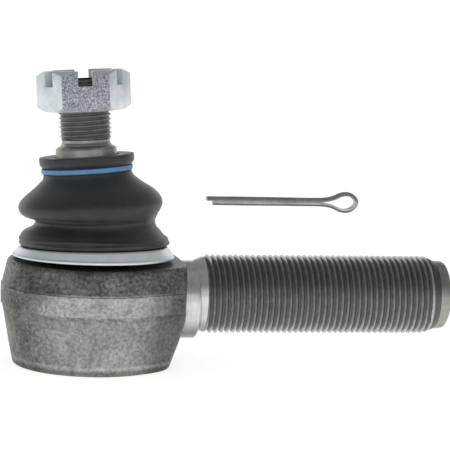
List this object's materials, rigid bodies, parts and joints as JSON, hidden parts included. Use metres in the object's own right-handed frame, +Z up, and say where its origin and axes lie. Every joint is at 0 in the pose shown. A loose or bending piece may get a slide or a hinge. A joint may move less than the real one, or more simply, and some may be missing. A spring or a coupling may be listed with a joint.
{
  "type": "tie rod end",
  "caption": "Tie rod end: forged eye with a threaded shank, leaning ball stud in a spring-loaded seat, rubber dust boot, castle nut and loose split pin.",
  "frame": {"origin": "middle of the base, on the flat of the closure plate under the ball centre", "axes": "+X along the threaded shank to its end, +Z up through the ball centre towards the stud, +Y square to both, to the left of someone looking along the shank from the eye"},
  "size_m": [0.1529, 0.0612, 0.0988],
  "materials": {
    "forged_steel": "rough forged steel, shot-blasted, dark grey-brown",
    "turned_steel": "turned steel, thin oil film",
    "seat_plastic": "moulded bearing plastic",
    "spring_steel": "hardened spring steel",
    "closure_steel": "pressed steel sheet",
    "seal_rubber": "soft seal rubber",
    "zinc_plate": "zinc plated pressed steel",
    "boot_rubber": "black moulded rubber, satin",
    "blue_plastic": "blue moulded plastic",
    "nut_zinc": "zinc plated steel, grainy faces",
    "pin_steel": "drawn steel wire"
  },
  "bodies": {
    "housing_body": {"housing": "forged_steel", "upper_ball_seat": "seat_plastic", "lower_ball_seat": "seat_plastic", "pressure_plate": "spring_steel", "disc_spring": "spring_steel", "closure_plate": "closure_steel", "closure_seal_ring": "seal_rubber", "boot_clamp_ring": "zinc_plate"},
    "boot_turn": {"dust_boot": "boot_rubber"},
    "boot_top": {"boot_top_ring": "blue_plastic"},
    "stud": {"ball_stud": "turned_steel"},
    "nut": {"castle_nut": "nut_zinc"},
    "pin": {"split_pin": "pin_steel"}
  },
  "joints": [
    {"name": "lean_swivel", "type": "hinge", "parent": "housing_body", "child": "boot_turn", "pos_m": [0, 0, 0.0235], "axis": [0, 0, 1], "continuous": true},
    {"name": "stud_lean", "type": "hinge", "parent": "boot_turn", "child": "boot_top", "pos_m": [0, 0, 0.0235], "axis": [-0.4848, -0.8746, 0], "range_deg": [-29.4, 20.6], "deforming": ["dust_boot"]},
    {"name": "stud_spin", "type": "hinge", "parent": "boot_top", "child": "stud", "pos_m": [0, 0, 0.0235], "axis": [-0.0671, 0.0372, 0.9971], "continuous": true},
    {"name": "nut_turn", "type": "hinge", "parent": "stud", "child": "nut", "pos_m": [-0.00456, 0.00253, 0.0913], "axis": [-0.0671, 0.0372, 0.9971], "continuous": true},
    {"name": "pin_lift", "type": "slide", "parent": "housing_body", "child": "pin", "axis": [0, 0, 1], "range_m": [0, 0.03]}
  ]
}
